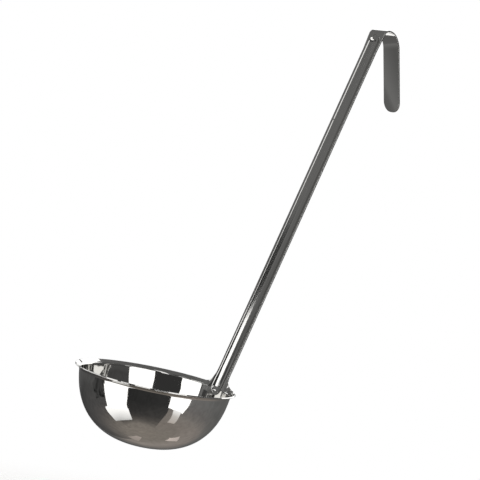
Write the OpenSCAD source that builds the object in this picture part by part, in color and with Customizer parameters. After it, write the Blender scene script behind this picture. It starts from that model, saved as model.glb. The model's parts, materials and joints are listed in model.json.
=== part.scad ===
// One-piece soup ladle, pressed from a single stainless steel sheet.
// Each node is one forming zone of that sheet: the drawn bowl, its flared lip, the neck that turns
// from the round wall into a flat strip, the grooved handle, the hook's bend and its hanging leg.
// Zones meet face to face on shared cuts. +X points from the bowl to the hook, +Z up, and the
// origin is the underside of the hook's crest, where a rail carries the ladle.

/* [Sheet] */
// Thickness of the steel sheet
sheet_t = 1.1; // [0.8:0.1:1.4]

/* [Bowl] */
// Outside diameter of the bowl where the lip begins
bowl_d = 115.8; // [100:0.2:130]
// Depth of the bowl, from where the lip begins down to the outside of the bottom
bowl_depth = 48.5; // [38:0.2:60]
// Outward slope of the wall where the lip begins, from the vertical
bowl_draft = 8; // [0:0.5:10]
// Fullness of the side view: 2 is an ellipse, more is squarer
bowl_power = 2.56; // [2:0.01:3]

/* [Lip] */
// How far the lip stands out past the bowl's wall
lip_overhang = 3.6; // [2.6:0.1:5]
// Angle of the flared lip from the vertical
lip_angle = 60; // [40:1:70]
// Radius of the bend under the lip
lip_bend_r = 1.6; // [1:0.1:2]

/* [Handle] */
// Length of the handle, from the top of the lip to the hook's bend
handle_len = 303.6; // [150:0.2:400]
// Lean of the handle away from the bowl
handle_lean = 15.2; // [10:0.1:25]
// Width of the flat flange on each side of the groove
flange_w = 1.4; // [1.2:0.1:4]

/* [Groove] */
// Width of the pressed groove, flange to flange
groove_w = 14.6; // [10:0.1:18]
// Depth of the groove
groove_depth = 2.6; // [1.5:0.1:3.5]
// Bend radius at the groove's edges, on the back of the sheet
groove_edge_r = 0.5; // [0.3:0.1:1]
// How far the groove's lower end reaches down the bowl's wall, below where the lip begins
groove_drop = 4.6; // [2:0.1:7]
// Flat strip left between the groove's upper end and the hook's bend
groove_top_gap = 3.2; // [2:0.1:10]

/* [Neck] */
// Radius of the fillets between the handle's edges and the lip
neck_fillet_r = 9; // [6:0.5:12]
// Radius of the bend from the bowl's wall to the handle, on the back of the sheet
neck_bend_r = 8; // [5:0.5:12]
// Plain wall below the groove's end that the neck takes in
neck_skirt = 4; // [3:0.5:6]
// Length over which the strip is already straight, above the fillets
neck_blend = 6; // [4:0.5:12]

/* [Hook] */
// How much wider the hook is than the handle, on each side
hook_step = 1.1; // [0:0.1:2]
// Length over which the strip widens
hook_step_len = 14; // [8:1:30]
// Radius of the first, tight bend, on the top face
crease_r = 5; // [4:0.1:8]
// Radius of the crest, on the top face
crest_r = 10.1; // [8:0.1:14]
// Radius of the shoulder that turns into the leg, on the top face
shoulder_r = 22; // [14:0.5:30]
// Slope at which the tight bend ends, above the horizontal
crease_slope = 8; // [0:1:20]
// Slope at which the crest ends, below the horizontal
crest_slope = 45; // [30:1:55]
// Length of the straight leg
leg_len = 50.6; // [30:0.1:70]
// Lean of the leg from the vertical, away from the handle
leg_lean = 16.3; // [5:0.1:25]
// Corner radius of the leg's end
leg_corner_r = 8.5; // [3:0.1:8.9]

/* [Hidden] */
$fn = 96;
steel = [0.62, 0.62, 0.63];
shade = 0.05;

wall_steps = 30;        // segments of the bowl's side view
edge_steps = 4;         // segments of one groove edge
trough_steps = 8;       // segments of half the groove's bottom
flange_steps = 5;       // columns of the neck beyond the groove
fillet_steps = 9;       // rows of the neck along its fillets
row_h = 0.7;            // height of the neck's rows near the groove's end
hook_steps = 20;        // segments of each of the hook's arcs
eps = 0.01;             // step for measuring slopes
deg = 180 / PI;

// Rounded step from 0 to 1, flat at both ends
function smooth(x) = let (c = min(1, max(0, x))) c * c * (3 - 2 * c);
function mix(a, b, k) = a * (1 - k) + b * k;

// Share of the depth at height z below the lip's start, and the wall's width there as a share of its
// full width, which drawing tapers by the draft
wall_r = bowl_d / 2;
function level(z) = min(1, -z / bowl_depth);
function width(z) = pow(1 - pow(level(z), bowl_power), 1 / bowl_power);
function tapered_r(z) = wall_r + z * tan(bowl_draft);

// A point of the wall's outside, and its outward direction [radius, z]
function wall_at(z) = [tapered_r(z) * width(z), z];
function wall_out(z) =
    let (k = bowl_power - 1,
         n = [pow(width(z), k),
              -tan(bowl_draft) * pow(width(z), bowl_power) - tapered_r(z) * pow(level(z), k) / bowl_depth])
    n / norm(n);
inner_r = wall_r - sheet_t * cos(bowl_draft);

// A strip that leaves the wall at run m = 0 and bends outward to angle a on radius r
function bend_angle(m, a, r) = min(a, bowl_draft + m / r * deg);
function bend_at(m, a, r) =
    let (b = bend_angle(m, a, r), rest = max(0, m - r * (a - bowl_draft) / deg))
    [wall_r + r * (cos(bowl_draft) - cos(b)) + rest * sin(a), r * (sin(b) - sin(bowl_draft)) + rest * cos(a)];
function bend_out(m, a, r) = let (b = bend_angle(m, a, r)) [cos(b), -sin(b)];

// The lip's bend, its straight flare and the height of its top edge
lip_turn = lip_bend_r * (lip_angle - bowl_draft) / deg;
flare_len = (lip_overhang - lip_bend_r * (cos(bowl_draft) - cos(lip_angle))) / sin(lip_angle);
lip_run = lip_turn + flare_len;
rim_z = bend_at(lip_run, lip_angle, lip_bend_r).y + sheet_t * sin(lip_angle);

// Side view of a stretch of wall from height z0 up to z1, as a closed outline of [radius, z]
function wall_rows(z0, z1) =
    let (a0 = asin(pow(level(z0), bowl_power / 2)),
         a1 = asin(pow(level(z1), bowl_power / 2)),
         n = max(3, round(wall_steps * (a0 - a1) / 90)))
    concat([z0], [for (i = [1:n - 1]) -bowl_depth * pow(sin(mix(a0, a1, i / n)), 2 / bowl_power)], [z1]);
function wall_outline(z0, z1) =
    let (zs = wall_rows(z0, z1), n = len(zs))
    concat([for (z = zs) wall_at(z)],
           [for (i = [n - 1:-1:0]) let (p = wall_at(zs[i]) - sheet_t * wall_out(zs[i])) [max(0, p.x), p.y]]);

// Runs along the lip: the bend in steps, then the straight flare
lip_rows = concat([for (i = [0:6]) lip_turn * i / 6], [lip_run]);
function lip_outline() =
    concat([for (m = lip_rows) bend_at(m, lip_angle, lip_bend_r)],
           [for (i = [len(lip_rows) - 1:-1:0])
               bend_at(lip_rows[i], lip_angle, lip_bend_r)
               - sheet_t * bend_out(lip_rows[i], lip_angle, lip_bend_r)]);

// The groove's section: edges of radius edge_r, and a round bottom tangent to them
half_groove = groove_w / 2;
strip_half = half_groove + flange_w;
edge_r = groove_edge_r + sheet_t;
bottom_r = (half_groove * half_groove + groove_depth * groove_depth) / (2 * groove_depth) - edge_r;
edge_turn = asin(half_groove / (bottom_r + edge_r));
edge_y = bottom_r * sin(edge_turn);

// Depth of the front face at distance y from the groove's spine
function groove_at(y) =
    y >= half_groove ? 0
    : y > edge_y ? edge_r - sqrt(edge_r * edge_r - pow(half_groove - y, 2))
    : groove_depth - bottom_r + sqrt(bottom_r * bottom_r - y * y);

// Half a section as [distance, depth], from the flange to the spine; back = sheet_t for the back face
function half_section(back) = concat(
    [for (i = [0:edge_steps]) let (a = edge_turn * i / edge_steps)
        [half_groove - (edge_r - back) * sin(a), edge_r - (edge_r - back) * cos(a)]],
    [for (i = [1:trough_steps]) let (a = edge_turn * (1 - i / trough_steps))
        [(bottom_r + back) * sin(a), groove_depth - bottom_r + (bottom_r + back) * cos(a)]]);
function mirrored(half) =
    let (n = len(half)) concat([for (p = half) [-p.x, p.y]], [for (i = [n - 2:-1:0]) half[i]]);

// Runs up the sheet's back, from where the lip begins
neck_end = lip_run + neck_fillet_r + neck_blend;
neck_bottom = -(groove_drop + neck_skirt);
groove_foot = half_groove - groove_drop;
neck_half = strip_half + neck_fillet_r;
neck_turn = neck_half / inner_r * deg;

// The handle's front face, in side view [x, z]
handle_dir = [sin(handle_lean), cos(handle_lean)];
neck_end_at = bend_at(neck_end, handle_lean, neck_bend_r)
              - sheet_t * bend_out(neck_end, handle_lean, neck_bend_r);
neck_rise = (neck_end_at.y - rim_z) / cos(handle_lean);
strip_len = handle_len - neck_rise;
crease_at = neck_end_at + strip_len * handle_dir;

// The hook in side view: three arcs on the top face, each turning the heading down
heading = 90 - handle_lean;
leg_heading = leg_lean - 90;
hook_half = strip_half + hook_step;
function arc_centre(p, h, r) = p + r * [sin(h), -cos(h)];
function arc_end(c, h, r) = c - r * [sin(h), -cos(h)];
crease_c = arc_centre(crease_at, heading, crease_r);
crest_from = arc_end(crease_c, crease_slope, crease_r);
crest_c = arc_centre(crest_from, crease_slope, crest_r);
shoulder_from = arc_end(crest_c, -crest_slope, crest_r);
shoulder_c = arc_centre(shoulder_from, -crest_slope, shoulder_r);
leg_from = arc_end(shoulder_c, leg_heading, shoulder_r);

// The hook's seat, on the underside of the crest, is the origin
seat = [crest_c.x, crest_c.y + crest_r - sheet_t];

// The neck's front face at distance q round the bowl and run m up the sheet, before the groove
function neck_flat(q, m) =
    let (t = q / inner_r * deg,
         w = m < 0 ? wall_at(m) - sheet_t * wall_out(m)
                   : bend_at(m, handle_lean, neck_bend_r) - sheet_t * bend_out(m, handle_lean, neck_bend_r),
         l = bend_at(m, lip_angle, lip_bend_r) - sheet_t * bend_out(m, lip_angle, lip_bend_r),
         f = smooth(m / neck_end),
         k = smooth((abs(q) - strip_half) / neck_fillet_r),
         strip = [w.x - inner_r * (1 - cos(t)) * (1 - f), mix(inner_r * sin(t), q, f), w.y],
         lip = [l.x * cos(t), l.x * sin(t), l.y])
    m < 0 ? [w.x * cos(t), w.x * sin(t), w.y] : mix(strip, lip, k);

// Outward direction of that face along the handle's middle
function neck_out(q, m) =
    let (t = q / inner_r * deg * (1 - smooth(m / neck_end)),
         n = m < 0 ? wall_out(m) : bend_out(m, handle_lean, neck_bend_r))
    [n.x * cos(t), n.x * sin(t), n.y];
function neck_front(q, m) =
    neck_flat(q, m) + groove_at(norm([q, min(0, m - groove_foot)])) * neck_out(q, m);
function neck_back(q, m) =
    let (n = cross(neck_front(q + eps, m) - neck_front(q - eps, m),
                   neck_front(q, m + eps) - neck_front(q, m - eps)))
    neck_front(q, m) + sheet_t * n / norm(n);

// Half-width of the neck at run m: the bowl's share, then the fillet, then the strip
function neck_width(m) =
    m <= lip_run ? neck_half
    : m >= lip_run + neck_fillet_r ? strip_half
    : neck_half - sqrt(pow(neck_fillet_r, 2) - pow(neck_fillet_r - (m - lip_run), 2));

low_rows = ceil((lip_run - neck_bottom) / row_h);
neck_rows = concat(
    [for (i = [0:low_rows]) mix(neck_bottom, lip_run, i / low_rows)],
    [for (i = [1:fillet_steps]) lip_run + neck_fillet_r * (1 - cos(90 * i / fillet_steps))],
    [for (i = [1:2]) lip_run + neck_fillet_r + neck_blend * i / 2]);
front_half = half_section(0);
function neck_columns(m) =
    mirrored(concat([for (i = [0:flange_steps - 1]) [mix(neck_width(m), half_groove, i / flange_steps), 0]],
                    front_half));

module in_place() {
    translate([-seat.x, 0, -seat.y]) children();
}

// A frame on the strip's front face: +Z along the heading, +X through the sheet to its back
module on_strip(p, h) {
    translate([p.x, 0, p.y]) rotate([0, 90 - h, 0]) children();
}

// Revolves a side view [radius, z] round the bowl, leaving out the neck's share
module round_but_neck() {
    rotate([0, 0, neck_turn]) rotate_extrude(angle = 360 - 2 * neck_turn) children();
}

module bowl() {
    color(steel)
    in_place() {
        rotate_extrude() polygon(wall_outline(-bowl_depth, neck_bottom));
        round_but_neck() polygon(wall_outline(neck_bottom, 0));
    }
}

module rim_lip() {
    color(steel + [shade, shade, shade])
    in_place() round_but_neck() polygon(lip_outline());
}

module neck() {
    grid = [for (m = neck_rows) [for (c = neck_columns(m)) [c.x, m]]];
    rows = len(grid);
    cols = len(grid[0]);
    front = [for (r = grid) for (c = r) neck_front(c.x, c.y)];
    back = [for (r = grid) for (c = r) neck_back(c.x, c.y)];
    last = rows * cols;
    function quad(a, b, c, d) = [[a, b, c], [a, c, d]];
    skin = [for (i = [0:rows - 2]) for (j = [0:cols - 2])
        let (a = i * cols + j)
        each concat(quad(a, a + cols, a + cols + 1, a + 1),
                    quad(last + a, last + a + 1, last + a + cols + 1, last + a + cols))];
    sides = [for (i = [0:rows - 2]) for (j = [0, cols - 1])
        let (a = i * cols + j, b = a + cols)
        each j == 0 ? quad(a, last + a, last + b, b) : quad(a, b, last + b, last + a)];
    ends = [for (j = [0:cols - 2]) for (i = [0, rows - 1])
        let (a = i * cols + j, b = a + 1)
        each i == 0 ? quad(a, b, last + b, last + a) : quad(a, last + a, last + b, b)];
    color(steel - [shade, shade, shade])
    in_place() polyhedron(concat(front, back), concat(skin, sides, ends), convexity = 6);
}

// The groove from the strip's start up to its round end: half is half a section of its fill
module trough(half, run) {
    n = len(half);
    both = concat([for (p = half) [p.y, -p.x]], [for (i = [n - 2:-1:1]) [half[i].y, half[i].x]],
                  [[half[0].y, half[0].x]]);
    linear_extrude(height = run) polygon(concat(both, [[half[0].y - sheet_t / 2, half_groove],
                                                       [half[0].y - sheet_t / 2, -half_groove]]));
    translate([0, 0, run]) rotate([90, 0, 90]) rotate_extrude(angle = 180)
        polygon(concat(half, [[0, half[0].y - sheet_t / 2], [half_groove, half[0].y - sheet_t / 2]]));
}

module handle() {
    spine = strip_len - groove_top_gap - half_groove;
    widen = strip_len - hook_step_len;
    color(steel)
    in_place() on_strip(neck_end_at, heading) difference() {
        union() {
            rotate([90, 0, 90]) linear_extrude(height = sheet_t)
                polygon([[-strip_half, 0], [strip_half, 0], [strip_half, widen], [hook_half, strip_len],
                         [-hook_half, strip_len], [-strip_half, widen]]);
            trough(half_section(sheet_t), spine);
        }
        trough(half_section(0), spine);
    }
}

// Side view of the hook's bend at depth t below its top face, arc after arc
function arc_points(c, r, h0, h1, first) =
    [for (i = [first:hook_steps]) arc_end(c, mix(h0, h1, i / hook_steps), r)];
function bend_side(t) = concat(
    arc_points(crease_c, crease_r - t, heading, crease_slope, 0),
    arc_points(crest_c, crest_r - t, crease_slope, -crest_slope, 1),
    arc_points(shoulder_c, shoulder_r - t, -crest_slope, leg_heading, 1));

module hook_bend() {
    under = bend_side(sheet_t);
    color(steel + [shade, shade, shade])
    in_place() rotate([90, 0, 0]) linear_extrude(height = 2 * hook_half, center = true)
        polygon(concat(bend_side(0), [for (i = [len(under) - 1:-1:0]) under[i]]));
}

module hook_leg() {
    corner = min(leg_corner_r, hook_half - 0.1);
    color(steel - [shade, shade, shade])
    in_place() on_strip(leg_from, leg_heading) rotate([90, 0, 90]) linear_extrude(height = sheet_t) {
        translate([-hook_half, 0]) square([2 * hook_half, leg_len - corner]);
        translate([corner - hook_half, 0]) square([2 * (hook_half - corner), leg_len]);
        for (side = [-1, 1])
            translate([side * (hook_half - corner), leg_len - corner]) circle(r = corner);
    }
}

bowl();
rim_lip();
neck();
handle();
hook_bend();
hook_leg();
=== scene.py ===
# %% [markdown]
# # A soup ladle pressed from one steel sheet
#
# The ladle is one sheet of stainless steel: a drawn bowl with a flared lip, a neck that turns the
# round wall into a flat strip, a long strip with a pressed groove, and a hook bent at its end. There is
# no weld or rivet on it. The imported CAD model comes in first, as a fixed frame. What is made here only
# dresses that frame: each zone of the sheet gets a finer skin, exactly in its place.

# %% Load the frame
import json
import math

import bpy
import numpy as np
from mathutils import Matrix, Vector
from mathutils.geometry import delaunay_2d_cdt

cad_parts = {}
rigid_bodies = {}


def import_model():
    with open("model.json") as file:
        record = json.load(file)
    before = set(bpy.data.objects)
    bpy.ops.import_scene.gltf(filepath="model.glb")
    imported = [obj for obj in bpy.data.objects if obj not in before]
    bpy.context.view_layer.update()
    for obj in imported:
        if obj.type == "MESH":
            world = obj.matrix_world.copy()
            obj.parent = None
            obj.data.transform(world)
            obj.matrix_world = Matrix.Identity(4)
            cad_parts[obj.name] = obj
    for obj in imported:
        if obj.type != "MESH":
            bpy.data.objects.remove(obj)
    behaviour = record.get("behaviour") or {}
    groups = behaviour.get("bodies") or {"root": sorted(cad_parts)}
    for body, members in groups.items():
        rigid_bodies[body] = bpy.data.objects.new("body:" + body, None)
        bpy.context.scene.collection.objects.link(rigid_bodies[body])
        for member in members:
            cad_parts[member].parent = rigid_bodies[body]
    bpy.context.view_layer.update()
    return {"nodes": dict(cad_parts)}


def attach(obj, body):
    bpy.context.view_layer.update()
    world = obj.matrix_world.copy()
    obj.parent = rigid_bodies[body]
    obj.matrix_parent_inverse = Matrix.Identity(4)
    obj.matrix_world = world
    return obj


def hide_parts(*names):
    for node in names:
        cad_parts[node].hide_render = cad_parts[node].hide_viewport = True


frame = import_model()
print("CAD nodes:", ", ".join(sorted(frame["nodes"])))

# %% [markdown]
# ## The sheet's own sizes
#
# A mirror shows every flat facet, and the CAD solids have them. Smooth shading could hide the facets,
# but it would bend the reflections too. So each zone of the sheet is built again as a fine mesh with
# exact normals, from the sizes of the CAD source. The side view is drawn in a plane of [distance from
# the bowl's axis, height above the line where the lip begins].

# %% Sizes of the pressing, in millimetres
MM = 0.001
SHEET = 1.1  # thickness of the steel
WALL_R = 115.8 / 2  # outside of the wall where the lip begins
BOWL_DEPTH = 48.5
BOWL_DRAFT = math.radians(8)
BOWL_POWER = 2.56  # 2 would be an ellipse
LIP_OVERHANG = 3.6
LIP_ANGLE = math.radians(60)  # from the upright, as LEAN is
LIP_BEND = 1.6
HANDLE_LEN = 303.6  # along the strip, from the lip's plane to the hook's bend
LEAN = math.radians(15.2)
FLANGE = 1.4  # flat edge beside the groove
GROOVE_HALF = 14.6 / 2
GROOVE_DEPTH = 2.6
GROOVE_EDGE = 0.5 + SHEET  # radius of the shoulders, seen from the front
GROOVE_DROP = 4.6  # how far the groove reaches down into the bowl's wall
GROOVE_TOP_GAP = 0.4  # left flat between the groove and the hook's bend
FILLET = 9  # between the strip's edge and the lip
NECK_BEND = 8
NECK_SKIRT = 4  # wall that belongs to the neck, below the groove
NECK_BLEND = 6
HOOK_STEP = 1.1  # the hook is this much wider on each side
HOOK_STEP_LEN = 14
CREASE_R = 5
CREST_R = 10.1
SHOULDER_R = 22
CREASE_SLOPE = math.radians(8)
CREST_SLOPE = math.radians(45)
LEG_LEN = 50.6
LEG_LEAN = math.radians(16.3)
LEG_CORNER = 8.5
print(f"a sheet of {SHEET} mm, a bowl {2 * WALL_R:.1f} mm wide and a handle {HANDLE_LEN} mm long")

# %% [markdown]
# ## The side view of the wall, the lip and the bend
#
# The bowl is drawn over a punch. Half an ellipse would be the usual guess for it, but the real wall is
# squarer: a superellipse, whose width also tapers by 8 degrees towards the bottom. That draft lets the
# bowl come off the punch, and it makes the wall slope outward where it ends. The lip and the handle
# both leave it there on a bend and then run straight, one at 60 degrees from the upright and the other
# at 15. The functions give points of the sheet's back, which is the outside of the bowl, and the
# direction in which the back faces.

# %% The wall
def level_at(z):
    """0 where the lip begins, 1 at the bottom."""
    return np.clip(-z / BOWL_DEPTH, 0, 1)


def width_at(z):
    """The share of the wall's radius that is left at this height."""
    return (1 - level_at(z) ** BOWL_POWER) ** (1 / BOWL_POWER)


def wall_at(z):
    return np.stack([(WALL_R + z * math.tan(BOWL_DRAFT)) * width_at(z), z], -1)


def wall_out(z):
    turning = (WALL_R + z * math.tan(BOWL_DRAFT)) * level_at(z) ** (BOWL_POWER - 1) / BOWL_DEPTH
    tapering = math.tan(BOWL_DRAFT) * width_at(z) ** BOWL_POWER
    n = np.stack([width_at(z) ** (BOWL_POWER - 1), -tapering - turning], -1)
    return n / np.linalg.norm(n, axis=-1, keepdims=True)


half_way = float(wall_at(np.array(-BOWL_DEPTH / 2))[0])
print(f"the bowl is {2 * half_way:.1f} mm wide half way down")


# %% The bends
def bend_out(m, angle, radius):
    """m is the run up the sheet from the wall's end, and angle is the slope at which the bend stops."""
    turned = np.clip(BOWL_DRAFT + m / radius, 0, angle)
    return np.stack([np.cos(turned), -np.sin(turned)], -1)


def bend_at(m, angle, radius):
    turned = np.clip(BOWL_DRAFT + m / radius, 0, angle)
    rest = np.maximum(0, m - radius * (angle - BOWL_DRAFT))
    x = WALL_R + radius * (math.cos(BOWL_DRAFT) - np.cos(turned)) + rest * math.sin(angle)
    z = radius * (np.sin(turned) - math.sin(BOWL_DRAFT)) + rest * math.cos(angle)
    return np.stack([x, z], -1)


print("the strip 10 mm above the wall:", np.round(bend_at(np.array(10.0), LEAN, NECK_BEND), 2))

# %% What follows from the sizes
INNER_R = WALL_R - SHEET * math.cos(BOWL_DRAFT)
STRIP_HALF = GROOVE_HALF + FLANGE
HOOK_HALF = STRIP_HALF + HOOK_STEP
flare = (LIP_OVERHANG - LIP_BEND * (math.cos(BOWL_DRAFT) - math.cos(LIP_ANGLE))) / math.sin(LIP_ANGLE)
LIP_RUN = LIP_BEND * (LIP_ANGLE - BOWL_DRAFT) + flare
RIM_Z = bend_at(np.array(LIP_RUN), LIP_ANGLE, LIP_BEND)[1] + SHEET * math.sin(LIP_ANGLE)
NECK_HALF = STRIP_HALF + FILLET
NECK_TURN = NECK_HALF / INNER_R
NECK_BOTTOM = -(GROOVE_DROP + NECK_SKIRT)
NECK_END = LIP_RUN + FILLET + NECK_BLEND
BOTTOM_R = (GROOVE_HALF**2 + GROOVE_DEPTH**2) / (2 * GROOVE_DEPTH) - GROOVE_EDGE
EDGE_TURN = math.asin(GROOVE_HALF / (BOTTOM_R + GROOVE_EDGE))
print(f"lip {LIP_RUN:.2f} mm wide up to {RIM_Z:.2f} mm, neck end {NECK_END:.2f} mm up the sheet")

# %% [markdown]
# ## The groove
#
# The groove is pressed towards the back of the handle, which makes the thin strip stiff. A bump in the
# material could suggest it, but it catches the light along its whole length, so it is real shape. Its
# section is a round bottom with two rounded shoulders that run out flat, and its two ends are round
# because the punch is.

# %% Depth of the groove at a distance from its spine
def groove_at(y):
    edge_y = BOTTOM_R * math.sin(EDGE_TURN)
    past_shoulder = np.clip(GROOVE_HALF - y, 0, GROOVE_EDGE)
    shoulder = GROOVE_EDGE - np.sqrt(np.maximum(0, GROOVE_EDGE**2 - past_shoulder**2))
    bottom = GROOVE_DEPTH - BOTTOM_R + np.sqrt(np.maximum(0, BOTTOM_R**2 - y**2))
    return np.where(y >= GROOVE_HALF, 0, np.where(y > edge_y, shoulder, bottom))


depths = groove_at(np.array([0, GROOVE_HALF / 2, GROOVE_HALF]))
print("depth at the spine, half way and at the edge:", np.round(depths, 2))

# %% [markdown]
# ## The neck
#
# The neck is where the press changes the round wall into a flat strip. It could be pulled into shape
# by hand on a subdivided mesh, but then it would meet the bowl and the strip only roughly. As a formula
# it meets both exactly: near its middle it follows the handle, and towards its sides it follows the
# lip, with a smooth step between the two and a round fillet as its edge. A point is named by q, its
# distance round the bowl from the middle, and m, its run up the sheet.

# %% The neck's front face
def smooth(x):
    """A step from 0 to 1 that starts and ends level."""
    c = np.clip(x, 0, 1)
    return c * c * (3 - 2 * c)


def around(side_view, turn):
    """Points or directions of the side view, turned round the bowl's axis."""
    radius, height = side_view[..., 0], side_view[..., 1]
    return np.stack(np.broadcast_arrays(radius * np.cos(turn), radius * np.sin(turn), height), -1)


def neck_flat(q, m):
    """The front before the groove is pressed into it."""
    turn = q / INNER_R
    z = np.minimum(m, 0)
    in_wall = (m < 0)[..., None]
    wall = wall_at(z) - SHEET * wall_out(z)
    upright = bend_at(m, LEAN, NECK_BEND) - SHEET * bend_out(m, LEAN, NECK_BEND)
    lip = bend_at(m, LIP_ANGLE, LIP_BEND) - SHEET * bend_out(m, LIP_ANGLE, LIP_BEND)
    unrolled = smooth(m / NECK_END)
    lip_share = smooth((np.abs(q) - STRIP_HALF) / FILLET)[..., None]
    x = upright[..., 0] - INNER_R * (1 - np.cos(turn)) * (1 - unrolled)
    y = INNER_R * np.sin(turn) * (1 - unrolled) + q * unrolled
    strip = np.stack([x, y, upright[..., 1]], -1)
    return np.where(in_wall, around(wall, turn), strip * (1 - lip_share) + around(lip, turn) * lip_share)


def neck_front(q, m):
    turn = q / INNER_R * (1 - smooth(m / NECK_END))
    out = np.where((m < 0)[..., None], wall_out(np.minimum(m, 0)), bend_out(m, LEAN, NECK_BEND))
    from_spine = np.hypot(q, np.minimum(0, m - (GROOVE_HALF - GROOVE_DROP)))
    return neck_flat(q, m) + groove_at(from_spine)[..., None] * around(out, turn)


middle_front = neck_front(np.zeros(1), np.zeros(1))[0]
print("the groove's spine where the lip begins, mm:", np.round(middle_front, 2))

# %% [markdown]
# ## The strip's path
#
# Above the neck the sheet is a flat strip that only ever bends about the Y axis. A curve with a flat
# section could follow the same path, but a list of straight runs and arcs also gives the exact
# direction through the sheet. The groove runs up to the hook's bend, as it does in the photo. In the
# CAD solid it ends 2.8 mm lower.

# %% The strip's path as straight runs and arcs
def heading_of(turn):
    return np.array([math.cos(turn), math.sin(turn)])


def through_of(turn):
    return np.array([math.sin(turn), -math.cos(turn)])


HEADING = math.pi / 2 - LEAN
LEG_HEADING = LEG_LEAN - math.pi / 2
end = np.array(float(NECK_END))
NECK_TOP = bend_at(end, LEAN, NECK_BEND) - SHEET * bend_out(end, LEAN, NECK_BEND)
STRIP_LEN = HANDLE_LEN - (NECK_TOP[1] - RIM_Z) / math.cos(LEAN)
bends = []
at = NECK_TOP + STRIP_LEN * heading_of(HEADING)
for radius, start, stop in (
    (CREASE_R, HEADING, CREASE_SLOPE),
    (CREST_R, CREASE_SLOPE, -CREST_SLOPE),
    (SHOULDER_R, -CREST_SLOPE, LEG_HEADING),
):
    centre = at + radius * through_of(start)
    bends.append((centre, radius, start, stop))
    at = centre - radius * through_of(stop)
LEG_AT = at
SEAT = bends[1][0] + np.array([0, CREST_R - SHEET])
print(f"the strip runs straight for {STRIP_LEN:.1f} mm")
print("seat of the hook from the bowl's axis, mm:", np.round(SEAT, 3))

# %% [markdown]
# ## From a face to a sheet
#
# Every zone is first a single face: points, the direction through the sheet at each, and polygons.
# Blender's Solidify modifier could thicken it, but it leaves sharp edges and averaged normals. So one
# function does it here. Where the sheet is cut, tumbling has rounded its edge to about 0.2 mm, which
# makes the thin bright line along the lip. Where one zone meets the next, the end stays flat and
# hidden. The exact normals are kept on the mesh, so that reflections run across the seams without a
# break.

# %% Layers from the front face to the back
EDGE_ROUND = 0.22
CORNER_STEPS = 3


def sheet_layers(points, through, outward):
    """Each layer is its points and its normals. The layers between the faces go round the cut edges."""
    layers = [(points, -through)]
    for k in range(1, CORNER_STEPS + 1):
        a = math.pi / 2 * k / CORNER_STEPS
        turned = math.sin(a) * outward - math.cos(a) * through
        layers.append((points + EDGE_ROUND * through + EDGE_ROUND * turned, turned))
    for k in range(CORNER_STEPS):
        a = math.pi / 2 * k / CORNER_STEPS
        turned = math.cos(a) * outward + math.sin(a) * through
        layers.append((points + (SHEET - EDGE_ROUND) * through + EDGE_ROUND * turned, turned))
    return layers + [(points + SHEET * through, through)]


print(2 * CORNER_STEPS + 2, "layers, edges rounded to", EDGE_ROUND, "mm")


# %% A mesh with its exact normals
def in_space(side_view):
    """A point or direction of the side view, in the ladle's plane of symmetry."""
    return np.array([side_view[0], 0, side_view[1]])


def build_mesh(name, verts, normals, runs, faces, shaded):
    """Faces from number shaded on are hidden ends, which stay flat."""
    mesh = bpy.data.meshes.new(name)
    mesh.from_pydata(((verts - in_space(SEAT)) * MM).tolist(), [], faces)
    mesh.polygons.foreach_set("use_smooth", [i < shaded for i in range(len(faces))])
    mesh.update()
    corners = np.concatenate([np.array(f) for f in faces])
    corner_normals = normals[corners]
    flat_from = sum(len(f) for f in faces[:shaded])
    flat = [np.repeat([mesh.polygons[i].normal[:]], len(faces[i]), 0) for i in range(shaded, len(faces))]
    if flat:
        corner_normals[flat_from:] = np.concatenate(flat)
    sheet_run = mesh.uv_layers.new(name="sheet_run")
    sheet_run.data.foreach_set("uv", (runs[corners] * MM).ravel())
    mesh.normals_split_custom_set(corner_normals.tolist())
    piece = bpy.data.objects.new(name, mesh)
    bpy.context.scene.collection.objects.link(piece)
    return piece


print("the hook's seat becomes the origin, mm from the bowl's:", np.round(in_space(SEAT), 1))


# %% Close a face into a sheet
def used_only(polygons, *values):
    """Leave out the points that no polygon uses."""
    used = np.unique(np.concatenate(polygons))
    number_of = {int(v): k for k, v in enumerate(used)}
    polygons = [[number_of[int(v)] for v in polygon] for polygon in polygons]
    return [polygons] + [value.reshape(-1, value.shape[-1])[used] for value in values]


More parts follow.
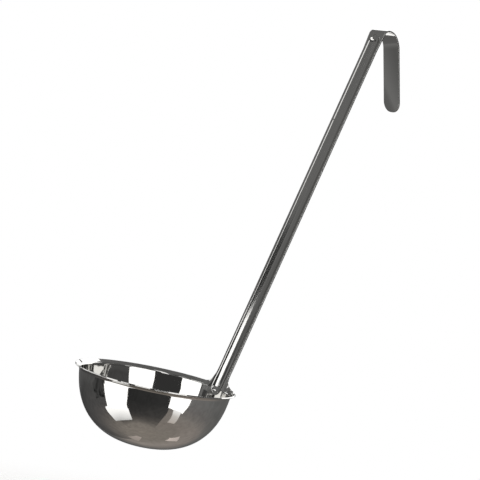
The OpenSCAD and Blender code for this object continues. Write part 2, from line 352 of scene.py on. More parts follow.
def sheet_piece(name, points, through, polygons, outward, runs):
    """The points are the front face. Outward is zero, or the direction out of a cut edge, where the
    points are drawn in by EDGE_ROUND. Polygons go clockwise seen from the back. Runs are the distances
    across and along the sheet, in mm, which the brushing follows."""
    polygons, points, through, outward, runs = used_only(polygons, points, through, outward, runs)
    cut = np.linalg.norm(outward, axis=1) > 0.5
    layers = sheet_layers(points, through, outward)
    last = len(layers) - 1
    index = np.full((len(layers), len(points)), -1)
    verts, normals, vert_runs = [], [], []
    for k, (layer_points, layer_normals) in enumerate(layers):
        keep = np.arange(len(points)) if k in (0, last) else np.nonzero(cut)[0]
        index[k, keep] = len(verts) + np.arange(len(keep))
        verts.extend(layer_points[keep])
        normals.extend(layer_normals[keep])
        vert_runs.extend(runs[keep])
    index = index.tolist()
    faces = [[index[0][v] for v in polygon] for polygon in polygons]
    faces += [[index[last][v] for v in reversed(polygon)] for polygon in polygons]
    edges = dict.fromkeys((a, b) for polygon in polygons for a, b in zip(polygon, polygon[1:] + polygon[:1]))
    rim = [(a, b) for a, b in edges if (b, a) not in edges]
    cut_rim = [(a, b) for a, b in rim if cut[a] and cut[b]]
    for a, b in cut_rim:
        faces += [[index[k + 1][a], index[k + 1][b], index[k][b], index[k][a]] for k in range(last)]
    shaded = len(faces)
    cut_starts = {a for a, b in cut_rim}
    cut_stops = {b for a, b in cut_rim}
    for a, b in rim:
        if not (cut[a] and cut[b]):
            faces.append([index[last][a], index[last][b], index[0][b], index[0][a]])
            if a in cut_stops:
                faces.append([layer[a] for layer in index])
            if b in cut_starts:
                faces.append([layer[b] for layer in reversed(index)])
    return build_mesh(name, np.array(verts), np.array(normals), np.array(vert_runs), faces, shaded)


def join_zone(piece, node):
    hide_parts(node)
    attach(piece, "root")
    print(f"{piece.name}: {len(piece.data.polygons)} faces, stands for {node}")


# %% Polygons of a face that is a grid
def numbered(points):
    return np.arange(points[..., 0].size).reshape(points.shape[:2])


def grid_polygons(ids, present=lambda i, j: True):
    """Where two corners of a cell are one point, its polygon is a triangle."""
    polygons = []
    rows, cols = ids.shape
    for i in range(rows - 1):
        for j in range(cols - 1):
            if present(i, j):
                corner = [ids[i, j], ids[i + 1, j], ids[i + 1, j + 1], ids[i, j + 1]]
                polygons.append([int(v) for k, v in enumerate(corner) if v != corner[k - 1]])
    return polygons


print("a grid of 3 by 4 points has", len(grid_polygons(numbered(np.zeros((3, 4, 3))))), "polygons")

# %% [markdown]
# ## The bowl
#
# The bowl is a turned shape: the side view goes round its axis. Blender's Screw modifier does the
# same, but here the columns have to meet those of the neck, which takes its own share of the circle.
# So the columns and rows come first, finer at the neck than elsewhere.

# %% Columns round the bowl and rows up the sheet
SHARE_STEP = 0.5  # across the neck, beside the groove
GROOVE_STEP = 0.25  # across the groove and along its upper end
ROW_STEP = 0.3  # up the neck and the lip
TURN_STEP = 1.3  # round the rest of the bowl


def spread(start, stop, step):
    return np.linspace(start, stop, max(1, round(abs(stop - start) / step)) + 1)


def columns_to(half, step):
    """Columns across a strip whose cut edges are at plus and minus half."""
    side = spread(GROOVE_HALF, half, step)[1:]
    return np.concatenate([-side[::-1], spread(-GROOVE_HALF, GROOVE_HALF, GROOVE_STEP), side])


bowl_share = columns_to(NECK_HALF, SHARE_STEP)
neck_rows = spread(NECK_BOTTOM, 0, ROW_STEP)
lip_rows = spread(0, LIP_RUN - EDGE_ROUND, ROW_STEP)
rest_of_turn = spread(NECK_TURN, 2 * math.pi - NECK_TURN, TURN_STEP / WALL_R)
bowl_turn = np.concatenate([bowl_share / INNER_R, rest_of_turn[1:]])
print(len(bowl_turn), "columns round the bowl")


# %% The drawn bowl
WALL_ROWS = 60


def turned_face(back, out, turn):
    """The front of a turned zone and the direction through it, from the side view of its back."""
    return around((back - SHEET * out)[:, None], turn), around(out[:, None], turn)


skirt_level = -NECK_BOTTOM / BOWL_DEPTH
wall_turn = np.linspace(math.pi / 2, math.asin(skirt_level ** (BOWL_POWER / 2)), WALL_ROWS)
bowl_rows = np.concatenate([-BOWL_DEPTH * np.sin(wall_turn) ** (2 / BOWL_POWER), neck_rows[1:]])
bowl_rows[0] = -BOWL_DEPTH
points, through = turned_face(wall_at(bowl_rows), wall_out(bowl_rows), bowl_turn)
ids = numbered(points)
ids[:, -1] = ids[:, 0]
ids[0, :] = 0
polygons = grid_polygons(ids, lambda i, j: i < WALL_ROWS - 1 or j >= len(bowl_share) - 1)
runs = np.stack(np.broadcast_arrays(bowl_turn * INNER_R, bowl_rows[:, None]), -1)
drawn_bowl = sheet_piece("drawn_bowl", points, through, polygons, np.zeros_like(points), runs)
join_zone(drawn_bowl, "bowl")

# %% [markdown]
# ## The lip
#
# The lip is the wall's upper edge, flared outward over a die and cut clean. It is turned as the bowl
# is, from the same columns, so that no reflection breaks where the two meet.

# %% The flared lip
points, through = turned_face(
    bend_at(lip_rows, LIP_ANGLE, LIP_BEND), bend_out(lip_rows, LIP_ANGLE, LIP_BEND), rest_of_turn
)
outward = np.zeros_like(points)
outward[-1] = around(np.array([math.sin(LIP_ANGLE), math.cos(LIP_ANGLE)]), rest_of_turn)
runs = np.stack(np.broadcast_arrays(rest_of_turn * INNER_R, lip_rows[:, None]), -1)
flared_lip = sheet_piece("flared_lip", points, through, grid_polygons(numbered(points)), outward, runs)
join_zone(flared_lip, "rim_lip")

# %% [markdown]
# ## The neck as a triangulated patch
#
# The neck's outline runs up the bowl, round a fillet and along the strip. A plain grid of rows and
# columns can't follow it without thin, twisted cells. So the outline and a field of points inside it
# are joined by Blender's Delaunay triangulation in the (q, m) plane, and only then bent into shape.

# %% Outline of the neck
FILLET_POINTS = 25
STRIP_STEP = 0.4
EDGE_STEP = 0.5


def seam(q, m):
    """Points on a seam, where nothing is cut: q, m and no direction outward."""
    return np.column_stack([q, np.full(len(q), m), np.zeros((len(q), 2))])


handle_columns = columns_to(STRIP_HALF, STRIP_STEP)
handle_columns[[0, -1]] = [EDGE_ROUND - STRIP_HALF, STRIP_HALF - EDGE_ROUND]
side = [(NECK_HALF, m, 0, 0) for m in np.concatenate([neck_rows[:-1], lip_rows[:-1]])]
for a in np.linspace(0, math.pi / 2, FILLET_POINTS):
    fillet_q = NECK_HALF - (FILLET + EDGE_ROUND) * math.sin(a)
    fillet_m = LIP_RUN + FILLET - (FILLET + EDGE_ROUND) * math.cos(a)
    side.append((fillet_q, fillet_m, math.sin(a), math.cos(a)))
side += [(STRIP_HALF - EDGE_ROUND, m, 1, 0) for m in spread(LIP_RUN + FILLET, NECK_END, EDGE_STEP)[1:]]
mirror = np.array(side)[::-1] * [-1, 1, -1, 1]
top = seam(handle_columns[1:-1][::-1], NECK_END)
bottom = seam(bowl_share[1:-1], NECK_BOTTOM)
outline = np.concatenate([bottom, side, top, mirror])
print(len(outline), "points round the neck")

# %% Points inside it
FIELD_STEP = 0.3
MARGIN = 0.15  # between the outline and the points inside it
LIP_MARGIN = 0.4  # the same, below the lip's rounded edge
across, up = np.meshgrid(spread(-NECK_HALF, NECK_HALF, FIELD_STEP), spread(NECK_BOTTOM, NECK_END, FIELD_STEP))
field = np.column_stack([across.ravel(), up.ravel()])
q = np.abs(field[:, 0])
m = field[:, 1]
in_skirt = (q < NECK_HALF - MARGIN) & (m < LIP_RUN - LIP_MARGIN)
in_strip = (q < STRIP_HALF - EDGE_ROUND - MARGIN) & (m < NECK_END - MARGIN)
to_fillet = np.hypot(NECK_HALF - q, LIP_RUN + FILLET - m)
under_fillet = (to_fillet > FILLET + EDGE_ROUND + MARGIN) & (m < LIP_RUN + FILLET) & (q < NECK_HALF - MARGIN)
field = field[(in_skirt | in_strip | under_fillet) & (m > NECK_BOTTOM + MARGIN)]
print(len(field), "points inside the neck's outline")

# %% Join the points and bend them into shape
SLOPE_STEP = 0.01
INSIDE = 1  # the triangulation keeps what is inside the ring
SAME_POINT = 1e-6


def slopes(face, q, m):
    """How a face changes across and along the sheet, measured a hundredth of a millimetre each way."""
    across = face(q + SLOPE_STEP, m) - face(q - SLOPE_STEP, m)
    along = face(q, m + SLOPE_STEP) - face(q, m - SLOPE_STEP)
    return across / (2 * SLOPE_STEP), along / (2 * SLOPE_STEP)


seeds = [Vector(p) for p in np.concatenate([outline[:, :2], field])]
ring = list(range(len(outline)))
found, _, triangles, origin, _, _ = delaunay_2d_cdt(seeds, [], [ring], INSIDE, SAME_POINT)
q, m = np.array([v[:] for v in found], float).T
source = np.array([o[0] for o in origin])
edge_out = np.zeros((len(found), 2))
on_outline = source < len(outline)
edge_out[on_outline] = outline[source[on_outline], 2:]
along_q, along_m = slopes(neck_front, q, m)
through = np.cross(along_q, along_m)
through /= np.linalg.norm(through, axis=1, keepdims=True)
outward = along_q * edge_out[:, :1] + along_m * edge_out[:, 1:]
outward /= np.maximum(np.linalg.norm(outward, axis=1, keepdims=True), 1e-9)
outward[np.linalg.norm(edge_out, axis=1) < 0.5] = 0
polygons = [list(reversed(triangle)) for triangle in triangles]
neck = sheet_piece("flared_neck", neck_front(q, m), through, polygons, outward, np.column_stack([q, m]))
join_zone(neck, "neck")

# %% [markdown]
# ## The grooved handle
#
# The strip runs straight from the neck to the hook. Its groove could be cut out of a plain strip, but a
# press doesn't cut: it pushes the sheet back, so every point of the face simply lies as deep as the
# groove is there. Rows are far apart where nothing changes and close together round the groove's upper
# end. The last 14 mm widen a little towards the hook.

# %% The handle's front face
LONG_STEP = 3  # where nothing changes along the strip
ACROSS = np.array([0, 1, 0])
SPINE_TOP = STRIP_LEN - GROOVE_TOP_GAP - GROOVE_HALF


def pressed(q, s):
    """Depth of the groove at q across the strip and s along it."""
    return groove_at(np.hypot(q, np.maximum(0, s - SPINE_TOP)))


def strip_half(s):
    return STRIP_HALF + HOOK_STEP * np.clip((s - STRIP_LEN + HOOK_STEP_LEN) / HOOK_STEP_LEN, 0, 1)


def strip_sides(points):
    """The direction out of a strip's two cut edges, and zero between them."""
    outward = np.zeros_like(points)
    outward[:, 0] = -ACROSS
    outward[:, -1] = ACROSS
    return outward


fine_from = SPINE_TOP - 1
handle_rows = np.concatenate([spread(0, fine_from, LONG_STEP), spread(fine_from, STRIP_LEN, GROOVE_STEP)[1:]])
s = np.repeat(handle_rows[:, None], len(handle_columns), 1)
on_flange = np.maximum(0, np.abs(handle_columns) - GROOVE_HALF) / (STRIP_HALF - EDGE_ROUND - GROOVE_HALF)
q = handle_columns + np.sign(handle_columns) * on_flange * (strip_half(s) - STRIP_HALF)
depth = pressed(q, s)[..., None]
slope_q, slope_s = slopes(pressed, q, s)
along = in_space(heading_of(HEADING))
inward = in_space(through_of(HEADING))
points = in_space(NECK_TOP) + s[..., None] * along + q[..., None] * ACROSS + depth * inward
through = inward - slope_q[..., None] * ACROSS - slope_s[..., None] * along
through /= np.linalg.norm(through, axis=-1, keepdims=True)
polygons = grid_polygons(numbered(points))
runs = np.stack([q, NECK_END + s], -1)
handle = sheet_piece("grooved_handle", points, through, polygons, strip_sides(points), runs)
join_zone(handle, "handle")

# %% [markdown]
# ## The hook's bend
#
# The strip is bent over a former, and three arcs follow it: a tight bend, the crest that sits on a
# rail, and a wide shoulder. Bending a straight mesh with a modifier would stretch its rows, so each row
# is placed on its arc instead, from the handle's own columns.

# %% The hook's bend
ROW_TURN = 2.5  # degrees from row to row
FEWEST_ROWS = 6
hook_columns = q[-1]
points, through, runs = [], [], []
run = NECK_END + STRIP_LEN
for centre, radius, start, stop in bends:
    rows = max(FEWEST_ROWS, round(math.degrees(start - stop) / ROW_TURN))
    turns = np.linspace(start, stop, rows + 1)
    if points:
        turns = turns[1:]  # a bend starts on the last row of the one before it
    for turn in turns:
        n = through_of(turn)
        points.append(in_space(centre - radius * n) + hook_columns[:, None] * ACROSS)
        through.append(np.repeat([in_space(n)], len(hook_columns), 0))
        runs.append([[column, run + radius * (start - turn)] for column in hook_columns])
    run += radius * (start - stop)
points, through, runs = np.array(points), np.array(through), np.array(runs)
polygons = grid_polygons(numbered(points))
hook_bend = sheet_piece("hook_crook", points, through, polygons, strip_sides(points), runs)
join_zone(hook_bend, "hook_bend")

# %% [markdown]
# ## The hook's leg
#
# The leg is the strip's end: flat, straight and cut round. It needs no grid, because a flat face can be
# one polygon. Its outline is drawn for one side and mirrored. The last point is the middle of its seam
# with the bend. It has no direction outward, so that the seam stays square.

# %% The hook's leg
CORNER_POINTS = 25
corner_turn = np.linspace(0, math.pi / 2, CORNER_POINTS)
corner_r = LEG_CORNER - EDGE_ROUND
corner_q = HOOK_HALF - LEG_CORNER + corner_r * np.cos(corner_turn)
corner_s = LEG_LEN - LEG_CORNER + corner_r * np.sin(corner_turn)
corner = np.column_stack([corner_q, corner_s, np.cos(corner_turn), np.sin(corner_turn)])
right = np.concatenate([[[HOOK_HALF - EDGE_ROUND, 0, 1, 0]], corner])
left = right[::-1] * [-1, 1, -1, 1]
leg_outline = np.concatenate([right, left, [[0, 0, 0, 0]]])
along = in_space(heading_of(LEG_HEADING))
inward = in_space(through_of(LEG_HEADING))
points = in_space(LEG_AT) + leg_outline[:, 1:2] * along + leg_outline[:, :1] * ACROSS
through = np.repeat([inward], len(points), 0)
outward = leg_outline[:, 2:3] * ACROSS + leg_outline[:, 3:] * along
runs = np.column_stack([leg_outline[:, 0], run + leg_outline[:, 1]])
hook_leg = sheet_piece("hook_tongue", points, through, [list(range(len(points)))[::-1]], outward, runs)
join_zone(hook_leg, "hook_leg")

# %% [markdown]
# ## A small helper for materials
#
# Every finish below is a handful of nodes. One function adds a node, fills its inputs and sets its
# options: an input that is another node's output becomes a link, and anything else a plain value.
# Colours are written as sRGB hex, the way a picker shows them, and turned into the linear values that
# the shader works with.

# %% Colours and nodes
def linear(hex_colour):
    channels = [int(hex_colour[i : i + 2], 16) / 255 for i in (1, 3, 5)]
    return [c / 12.92 if c <= 0.04045 else ((c + 0.055) / 1.055) ** 2.4 for c in channels] + [1]


def new_material(name):
    material = bpy.data.materials.new(name)
    material.use_nodes = True
    material.node_tree.nodes.clear()
    return material, material.node_tree


def add(tree, kind, inputs=None, options=None, stops=()):
    """Stops are the places and colours of a colour ramp."""
    node = tree.nodes.new(kind)
    for option, value in (options or {}).items():
        setattr(node, option, value)
    for number, (place, colour) in enumerate(stops):
        known = node.color_ramp.elements
        stop = known[number] if number < 2 else known.new(place)
        stop.position = place
        stop.color = linear(colour)
    for key, value in (inputs or {}).items():
        if isinstance(value, bpy.types.NodeSocket):
            tree.links.new(value, node.inputs[key])
        else:
            node.inputs[key].default_value = value
    return node


print("linear value of a mid grey:", [round(c, 3) for c in linear("#808080")])

# %% [markdown]
# ## Mirror-polished stainless steel
#
# The bowl, its lip and the neck are buffed until they mirror the room. A plain mirror would look like
# chrome plate. What tells the eye that this is pressed steel is in the mirror's faults: the drawing
# leaves the wall slightly wavy, so straight reflections wander, and handling leaves a faint haze. The
# waves are some 18 mm long and a tenth or two of a millimetre high. A bump makes them, because they
# bend reflections long before they show in the outline. The haze changes the roughness in blotches of
# some 4 mm. A metal's colour is its reflection, so the base colour is the steel's own pale warm grey.

# %% Polished steel
WAVES_PER_METRE = 55
BLOTCHES_PER_METRE = 240
WAVE_DISTANCE = 0.7 * MM
polished_steel, tree = new_material("mirror_polished_stainless")
place = add(tree, "ShaderNodeTexCoord")
waves = add(
    tree,
    "ShaderNodeTexNoise",
    {"Vector": place.outputs["Object"], "Scale": WAVES_PER_METRE, "Detail": 1.0, "Roughness": 0.35},
)
wave_bump = add(
    tree, "ShaderNodeBump", {"Height": waves.outputs["Fac"], "Strength": 1.0, "Distance": WAVE_DISTANCE}
)
haze = add(
    tree,
    "ShaderNodeTexNoise",
    {"Vector": place.outputs["Object"], "Scale": BLOTCHES_PER_METRE, "Detail": 4.0, "Roughness": 0.6},
)
haze_range = add(
    tree,
    "ShaderNodeMapRange",
    {"Value": haze.outputs["Fac"], "From Min": 0.35, "From Max": 0.75, "To Min": 0.025, "To Max": 0.07},
)
shader = add(
    tree,
    "ShaderNodeBsdfPrincipled",
    {
        "Base Color": linear("#cecdca"),
        "Metallic": 1.0,
        "Roughness": haze_range.outputs["Result"],
        "Normal": wave_bump.outputs["Normal"],
    },
)
add(tree, "ShaderNodeOutputMaterial", {"Surface": shader.outputs["BSDF"]})
for piece in (drawn_bowl, flared_lip, neck):
    piece.data.materials.append(polished_steel)
print("polished steel on", drawn_bowl.name, flared_lip.name, neck.name)

# %% [markdown]
# ## Satin stainless steel
#
# The handle and the hook are drawn along a fine belt, which leaves brushing lines that run with the
# strip. They blur what the metal mirrors, so the room shows there as soft greys and not as pictures.
# An anisotropic shader could stretch the blur, but it needs a tangent that follows the hook. Here the
# lines are a fine bump in the sheet's own coordinates, which run over the bend with the steel. Real
# lines are some 0.05 mm apart. They are drawn 0.2 mm apart and 17 mm long, as coarse as they need to
# show, and only about a thousandth of a millimetre deep.

# %% Satin steel
LINES_PER_METRE = 5000
STROKES_PER_METRE = 60
LINE_DISTANCE = 0.02 * MM
satin_steel, tree = new_material("satin_brushed_stainless")
run_map = add(tree, "ShaderNodeUVMap", options={"uv_map": "sheet_run"})
stretch = add(
    tree,
    "ShaderNodeMapping",
    {"Vector": run_map.outputs["UV"], "Scale": (LINES_PER_METRE, STROKES_PER_METRE, 1)},
)
brush = add(
    tree,
    "ShaderNodeTexNoise",
    {"Vector": stretch.outputs["Vector"], "Scale": 1.0, "Detail": 2.0},
    {"noise_dimensions": "2D"},
)
brush_bump = add(
    tree, "ShaderNodeBump", {"Height": brush.outputs["Fac"], "Strength": 0.12, "Distance": LINE_DISTANCE}
)
shader = add(
    tree,
    "ShaderNodeBsdfPrincipled",
    {
        "Base Color": linear("#c9c8c5"),
        "Metallic": 1.0,
        "Roughness": 0.09,
        "Normal": brush_bump.outputs["Normal"],
    },
)
add(tree, "ShaderNodeOutputMaterial", {"Surface": shader.outputs["BSDF"]})
for piece in (handle, hook_bend, hook_leg):
    piece.data.materials.append(satin_steel)
print("satin steel on", handle.name, hook_bend.name, hook_leg.name)

# %% [markdown]
# ## The camera
#
# A long lens from a good metre away keeps the rim's ellipse and the handle's edges almost parallel, as
# a catalogue picture does. The bowl stands level in this model. In the photo it doesn't, and instead of
# turning the ladle the camera is rolled by 12 degrees.

# %% Camera
CAMERA_AZ = math.radians(-35.31)
CAMERA_EL = math.radians(2.69)
CAMERA_ROLL = math.radians(12.04)
CAMERA_DISTANCE = 1.31846
CAMERA_AIM = Vector((-0.093467, 0, -0.182539))


def towards(az, el):
    """Unit vector towards azimuth az and elevation el, in radians. Azimuth 0 is -Y."""
    return Vector((math.sin(az) * math.cos(el), -math.cos(az) * math.cos(el), math.sin(el)))


camera_back = towards(CAMERA_AZ, CAMERA_EL)
level_right = Vector((math.cos(CAMERA_AZ), math.sin(CAMERA_AZ), 0))
level_up = camera_back.cross(level_right)
camera_right = level_right * math.cos(CAMERA_ROLL) + level_up * math.sin(CAMERA_ROLL)
camera_up = level_up * math.cos(CAMERA_ROLL) - level_right * math.sin(CAMERA_ROLL)
lens = bpy.data.cameras.new("long_lens")
lens.lens = 129.18
lens.sensor_width = 36
lens.clip_end = 20
camera = bpy.data.objects.new("camera", lens)
turn = Matrix((camera_right, camera_up, camera_back)).transposed().to_4x4()
camera.matrix_world = Matrix.Translation(CAMERA_AIM + camera_back * CAMERA_DISTANCE) @ turn
bpy.context.scene.collection.objects.link(camera)
bpy.context.scene.camera = camera
print("camera at", [round(v, 3) for v in camera.matrix_world.translation])

# %% [markdown]
# ## The studio that the mirror shows
#
# Polished steel has hardly any look of its own: it shows the room. A picture of a room could light it,
# but then no lamp or wall could be moved on its own. So the room is built of curved cards that glow,
# most of them three metres away, each placed by the directions that it covers: azimuth 0 is -Y and
# azimuth -35 the camera's side. Steel gives back about six tenths of the light, so each card is that
# much lighter than the tone that it leaves on the bowl. Cards show in reflections alone, so they hide
# nothing from the camera and throw no shadow.

# %% What a card is made of
MOTTLE_SCALE = 5


def card_material(name, tones, far_tones, strength, mottle):
    """Tones are stops from the card's foot, 0, to its top, 1. They blend into far_tones along the card."""
    material, tree = new_material(name)
    on_card = add(tree, "ShaderNodeUVMap", options={"uv_map": "card"})
    split = add(tree, "ShaderNodeSeparateXYZ", {0: on_card.outputs["UV"]})
    near = add(tree, "ShaderNodeValToRGB", {"Fac": split.outputs["Y"]}, stops=tones)
    far = add(tree, "ShaderNodeValToRGB", {"Fac": split.outputs["Y"]}, stops=far_tones)
    place = add(tree, "ShaderNodeTexCoord")
    blotches = add(
        tree, "ShaderNodeTexNoise", {"Vector": place.outputs["Object"], "Scale": MOTTLE_SCALE, "Detail": 3.0}
    )
    light = add(
        tree,
        "ShaderNodeMapRange",
        {
            "Value": blotches.outputs["Fac"],
            "From Min": 0.3,
            "From Max": 0.7,
            "To Min": strength * (1 - mottle),
            "To Max": strength * (1 + mottle),
        },
    )
    tone = add(
        tree,
        "ShaderNodeMix",
        {"Factor": split.outputs["X"], 6: near.outputs["Color"], 7: far.outputs["Color"]},
        {"data_type": "RGBA"},
    )
    glow = add(tree, "ShaderNodeEmission", {"Color": tone.outputs[2], "Strength": light.outputs["Result"]})
    add(tree, "ShaderNodeOutputMaterial", {"Surface": glow.outputs["Emission"]})
    return material


print("a card's light is plain, or mottled in blotches of some", round(100 / MOTTLE_SCALE), "cm")

# %% How a card is placed
STUDIO_CENTRE = Vector((-0.13, 0, -0.28))
CARD_DISTANCE = 3.0
CARD_STEP = 0.04
CARD_CELL = 5


def steps_over(span):
    return max(2, round(abs(span) / CARD_CELL)) + 1


def card(name, az_span, tones, far_tones=None, layer=0, strength=1.0, mottle=0.0, middle=None, distance=None):
    """A curved card over a span of azimuth, in degrees. Tones are (elevation, colour) from its foot to
    its top, and far_tones those at its other end. A card of a higher layer stands before a lower one."""
    middle = middle or STUDIO_CENTRE
    distance = distance or CARD_DISTANCE - layer * CARD_STEP
    far_tones = far_tones or tones
    foot = tones[0][0]
    height = tones[-1][0] - foot
    width = az_span[1] - az_span[0]
    columns, rows = steps_over(width), steps_over(height)
    points, places = [], []
    for v in np.linspace(0, 1, rows):
        for u in np.linspace(0, 1, columns):
            direction = towards(math.radians(az_span[0] + u * width), math.radians(foot + v * height))
            points.append(middle + direction * distance)
            places.append((u, v))
    mesh = bpy.data.meshes.new(name)
    mesh.from_pydata(points, [], grid_polygons(np.arange(rows * columns).reshape(rows, columns)))
    on_card = mesh.uv_layers.new(name="card")
    for loop in mesh.loops:
        on_card.data[loop.index].uv = places[loop.vertex_index]
    piece = bpy.data.objects.new(name, mesh)
    stops = [[((el - foot) / height, colour) for el, colour in side] for side in (tones, far_tones)]
    piece.data.materials.append(card_material(name, *stops, strength, mottle))
    bpy.context.scene.collection.objects.link(piece)
    piece.visible_camera = False
    piece.visible_diffuse = False
    piece.visible_transmission = False
    piece.visible_shadow = False
    return piece


def count_cards():
    return sum(not thing.visible_camera for thing in bpy.data.objects)


print("cards stand", CARD_DISTANCE, "m from", [round(v, 2) for v in STUDIO_CENTRE])

# %% [markdown]
# The walls come first. Each runs from a darker warm grey at its foot, which the mirror shows below the
# ladle in place of the pale board, up to the grey of the room, and together they set the tones that lie
# between the highlights. A wall's two ends may differ, which shades the bowl from side to side.

# %% The room's own greys
# The foot of every wall: a darker warm grey that the mirror shows below the ladle, where the pale board is
# hidden from reflections.
WARM_GREY_BELOW = [(-90, "#989088"), (-70, "#918a83")]
ceiling = [(52, "#6c6c6c"), (90, "#666666")]
left_end = WARM_GREY_BELOW + [
    (-57, "#78736f"), (-46, "#605e5c"), (-35, "#525151"), (-18, "#3c3c3c"), (0, "#7f7f7f"), (54, "#747474")
]
left_wall = WARM_GREY_BELOW + [
    (-57, "#78736f"), (-46, "#646160"), (-35, "#595858"), (-20, "#585858"), (0, "#7f7f7f"), (54, "#747474")
]
front_left = WARM_GREY_BELOW + [
    (-63, "#706b67"), (-55, "#4b4846"), (-48, "#3a3939"), (-28, "#2a2a2a"), (8, "#404040"), (54, "#3c3c3c")
]
front_right = WARM_GREY_BELOW + [
    (-63, "#76716c"), (-55, "#625e5b"), (-48, "#4e4c4b"), (-32, "#3c3c3c"), (8, "#404040"), (54, "#3c3c3c")
]
right_front = WARM_GREY_BELOW + [
    (-55, "#928a84"), (-40, "#938d88"), (-30, "#7c7978"), (-18, "#808080"), (10, "#4e4e4e"), (54, "#585858")
]
right_wall = WARM_GREY_BELOW + [
    (-55, "#a29a94"), (-42, "#978f8a"), (-30, "#787674"), (-20, "#666665"), (10, "#787878"), (54, "#6c6c6c")
]
back_wall = WARM_GREY_BELOW + [
    (-53, "#a39b95"), (-44, "#827d79"), (-36, "#696766"), (-27, "#585858"), (10, "#626262"), (54, "#767676")
]
card("ceiling", (-180, 180), ceiling)
card("left_end", (-200, -140), left_end, left_wall, mottle=0.12)
card("left_wall", (-140, -111), left_wall, mottle=0.2)
card("front", (-111, -4), front_left, front_right, mottle=0.12)
card("right_front", (-4, 45), right_front, mottle=0.1)
card("right_wall", (45, 115), right_front, right_wall, mottle=0.1)
card("back_wall", (115, 160), right_wall, back_wall, mottle=0.1)
print(count_cards(), "cards for the room")

# %% [markdown]
# Before the walls stand the things that the bowl shows. Two softboxes make the tall white patches on
# it, each with lower parts whose edges are cut differently, and a dark cloth hangs between them. A
# doorway and some clutter darken the left end. Two low windows make the faint warm patches near the
# bowl's bottom, and the skylights draw the bright line along the lip's near edge. The far window and
# the glow stand behind the ladle, for what faces away from the camera.

# %% What stands in the room
WHITE = "#ffffff"
card("softbox_left", (-110, -79), [(-30, WHITE), (23, WHITE)], strength=2.0, distance=0.9)
card("softbox_left_low", (-114, -73), [(-44, WHITE), (-22, WHITE)], layer=4, strength=2.0)
left_foot = [(-61, "#b4b4b4"), (-57, "#d0d0d0"), (-42, WHITE)]
card("softbox_left_foot", (-122, -72), left_foot, layer=2, strength=1.8)
card("cloth_high", (-79, -30), [(-22, "#3c3c3c"), (57, "#3c3c3c")], layer=4)
card("softbox_right", (-30, 8), [(-4, WHITE), (40, WHITE)], layer=3, strength=2.0)
card("softbox_right_low", (-6, 28), [(-34, WHITE), (-12, WHITE)], layer=4, strength=2.0)
right_tail = [(-52, "#b8b0aa"), (-42, "#d0ccc8"), (-33, WHITE)]
card("softbox_right_tail", (5, 23), right_tail, layer=5, strength=1.35)
card("dark_doorway", (-141, -119), [(5, "#484848"), (17, "#484848")], layer=1)
card("clutter", (-138, -111), [(-30, "#404040"), (-17, "#404040")], layer=1, mottle=0.9)
card("window_right", (82, 104), [(-66, "#f0e2da"), (-56, "#d8ccc6")], layer=1)
card("far_window", (156, 186), [(3, WHITE), (15, WHITE)], layer=1, strength=1.1)
card("window_back", (150, 167), [(-74, "#c4b8b2"), (-62, "#b0a69f")], layer=1)
card("skylight_1", (-144, -126), [(32, WHITE), (41, WHITE)], layer=2, strength=1.5)
card("skylight_2", (-126, -98), [(38, WHITE), (46, WHITE)], layer=2, strength=1.5)
card("skylight_3", (-98, -72), [(44, WHITE), (50, WHITE)], layer=2, strength=1.2)
card("skylight_4", (-72, -14), [(48, "#a6a6a6"), (53, "#a6a6a6")], layer=5)
card("skylight_5", (-14, 28), [(43, WHITE), (51, WHITE)], layer=2, strength=1.5)
card("back_glow", (87, 148), [(2, WHITE), (38, WHITE)], layer=1, strength=1.8)
print(count_cards(), "cards with what stands in the room")

# %% [markdown]
# ## Cards for one place alone
#
# From three metres away a card shows in every part of the ladle that faces its way. A small card close
# to one part shows in that part alone, so it can put one highlight right without touching the others. A
# grey screen at the height of the skylights keeps them off the handle, and a strip light beside it
# draws the thin line on the groove's far edge. Five short cards beside the bowl's left end carry the
# white line along the lip there, and they follow its curve. At the hook, one card stands behind the
# leg, one lights the crown, one dims the groove's upper end and one shades the leg from left to right.

# %% Cards for the handle
card("handle_screen", (-134, -60), [(25, "#7c7c7c"), (36, "#767676")], distance=2.7)
handle_middle = Vector((-0.04, 0, -0.13))
card("strip_light", (-70, -54), [(-6, WHITE), (62, WHITE)], strength=1.3, middle=handle_middle, distance=0.3)
print("the strip light stands 300 mm from the handle")

# %% Cards for the lip's left end
LINE_CARD_WIDTH = 16
LINE_CARD_HEIGHT = 8
lip_end = Vector((-0.203, 0, -0.296))
for number, (az, el) in enumerate([(-182, 14), (-166, 18), (-151, 23), (-141, 28), (-131, 32)]):
    tones = [(el, WHITE), (el + LINE_CARD_HEIGHT, WHITE)]
    az_span = (az, az + LINE_CARD_WIDTH)
    card(f"lip_line_{number}", az_span, tones, strength=1.1, middle=lip_end, distance=0.1)
print(number + 1, "cards along the lip's line")

# %% Cards for the hook
hook_seat = Vector((0, 0, 0))
card("behind_leg", (-190, -120), [(-42, "#6a6a6a"), (-6, "#767676")], middle=hook_seat, distance=0.35)
card("behind_crown", (146, 170), [(-44, WHITE), (-24, WHITE)], strength=1.6, middle=hook_seat, distance=0.35)
card("groove_end_screen", (-140, -96), [(-78, "#7c7c7c"), (-8, "#787878")], middle=hook_seat, distance=0.08)
leg_left = [(-58, "#8a8a8a"), (-10, "#868686")]
leg_right = [(-58, "#686868"), (-10, "#5e5e5e")]
card("leg_side", (-157, -146), leg_left, leg_right, middle=hook_seat, distance=0.12)
print(count_cards(), "cards in all")

# %% [markdown]
# ## The floor
#
# The ladle hangs 107 mm above a pale painted board, which keeps its soft shadow. A wide plane would end
# in a grey horizon behind the ladle. So the board is a disc that fades out towards its edge, into the
# white of the studio. It isn't there for reflections or for an eye below it.

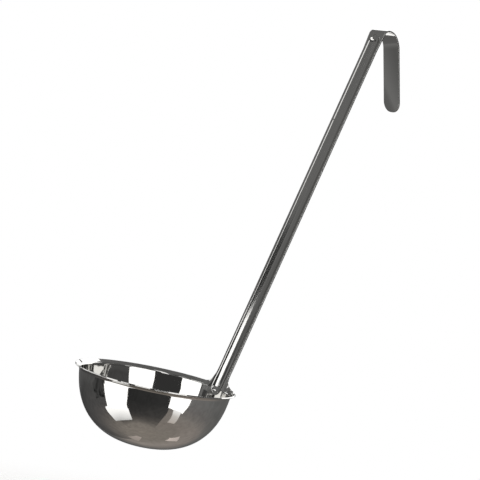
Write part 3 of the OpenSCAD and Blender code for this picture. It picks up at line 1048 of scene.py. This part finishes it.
# %% The board's shape
FLOOR_RADIUS = 0.42
FLOOR_Z = -0.455
FLOOR_RINGS = 12
SPOKE_TURN = 6
rings = np.linspace(0, FLOOR_RADIUS, FLOOR_RINGS + 1)[1:]
spokes = np.radians(np.arange(0, 360, SPOKE_TURN))
floor_points = [(STUDIO_CENTRE.x, 0, FLOOR_Z)]
for radius in rings:
    floor_points += [(STUDIO_CENTRE.x + radius * math.cos(a), radius * math.sin(a), FLOOR_Z) for a in spokes]
floor_faces = []
for k in range(len(spokes)):
    after = (k + 1) % len(spokes)
    floor_faces.append([0, 1 + k, 1 + after])
    for ring_number in range(FLOOR_RINGS - 1):
        inner = 1 + ring_number * len(spokes)
        outer = inner + len(spokes)
        floor_faces.append([inner + k, outer + k, outer + after, inner + after])
floor_mesh = bpy.data.meshes.new("pale_floor")
floor_mesh.from_pydata(floor_points, [], floor_faces)
floor = bpy.data.objects.new("pale_floor", floor_mesh)
bpy.context.scene.collection.objects.link(floor)
floor.visible_glossy = False
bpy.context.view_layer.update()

# %% The board's paint
FADE_FROM = 0.4
FADE_TO = 0.98
pale_board, tree = new_material("pale_painted_board")
place = add(tree, "ShaderNodeTexCoord")
centred = add(
    tree,
    "ShaderNodeVectorMath",
    {0: place.outputs["Object"], 1: (STUDIO_CENTRE.x, 0, FLOOR_Z)},
    {"operation": "SUBTRACT"},
)
reach = add(tree, "ShaderNodeVectorMath", {0: centred.outputs[0]}, {"operation": "LENGTH"})
fade = add(
    tree,
    "ShaderNodeMapRange",
    {
        "Value": reach.outputs["Value"],
        "From Min": FADE_FROM * FLOOR_RADIUS,
        "From Max": FADE_TO * FLOOR_RADIUS,
    },
    {"interpolation_type": "SMOOTHSTEP"},
)
facing = add(tree, "ShaderNodeNewGeometry")
hidden = add(
    tree,
    "ShaderNodeMath",
    {0: fade.outputs["Result"], 1: facing.outputs["Backfacing"]},
    {"operation": "MAXIMUM"},
)
board = add(tree, "ShaderNodeBsdfDiffuse", {"Color": linear("#f6f4f1")})
clear = add(tree, "ShaderNodeBsdfTransparent")
blend = add(tree, "ShaderNodeMixShader", {0: hidden.outputs[0], 1: board.outputs[0], 2: clear.outputs[0]})
add(tree, "ShaderNodeOutputMaterial", {"Surface": blend.outputs[0]})
floor.data.materials.append(pale_board)
print("the board fades out from", round(1000 * FADE_FROM * FLOOR_RADIUS), "mm round the ladle")

# %% [markdown]
# ## The lamps and the world
#
# Two large soft lamps light what isn't a mirror at a plain level, one high on the left and a weaker
# one on the right. The steel doesn't mirror them, because its highlights come from the cards. The
# world is plain white where the camera or a reflection sees it, and a little dimmer where it lights a
# surface, so that nothing pale clips.

# %% Lamps
def soft_lamp(name, az, el, distance, size, power):
    light = bpy.data.lights.new(name, "AREA")
    light.shape = "DISK"
    light.size = size
    light.energy = power
    lamp = bpy.data.objects.new(name, light)
    back = towards(math.radians(az), math.radians(el))
    turn = back.to_track_quat("Z", "Y").to_matrix().to_4x4()
    lamp.matrix_world = Matrix.Translation(STUDIO_CENTRE + back * distance) @ turn
    lamp.visible_glossy = False
    bpy.context.scene.collection.objects.link(lamp)
    return lamp


soft_lamp("key_lamp", az=-80, el=50, distance=1.6, size=0.9, power=8.0)
soft_lamp("fill_lamp", az=10, el=45, distance=1.6, size=1.2, power=5.0)
print("two soft lamps")

# %% World
SEEN_LIGHT = 1.0
FILL_LIGHT = 0.7
world = bpy.data.worlds.new("white_studio")
world.use_nodes = True
world.node_tree.nodes.clear()
tree = world.node_tree
ray = add(tree, "ShaderNodeLightPath")
camera_or_glossy = add(
    tree,
    "ShaderNodeMath",
    {0: ray.outputs["Is Camera Ray"], 1: ray.outputs["Is Glossy Ray"]},
    {"operation": "MAXIMUM"},
)
seen = add(
    tree,
    "ShaderNodeMath",
    {0: camera_or_glossy.outputs[0], 1: ray.outputs["Is Transmission Ray"]},
    {"operation": "MAXIMUM"},
)
seen_light = add(tree, "ShaderNodeBackground", {"Color": linear(WHITE), "Strength": SEEN_LIGHT})
fill_light = add(tree, "ShaderNodeBackground", {"Color": linear(WHITE), "Strength": FILL_LIGHT})
both = add(
    tree, "ShaderNodeMixShader", {0: seen.outputs[0], 1: fill_light.outputs[0], 2: seen_light.outputs[0]}
)
add(tree, "ShaderNodeOutputWorld", {"Surface": both.outputs[0]})
bpy.context.scene.world = world
bpy.context.scene.view_settings.view_transform = "Standard"
print("world light for plain surfaces", FILL_LIGHT, "and for reflections", SEEN_LIGHT)
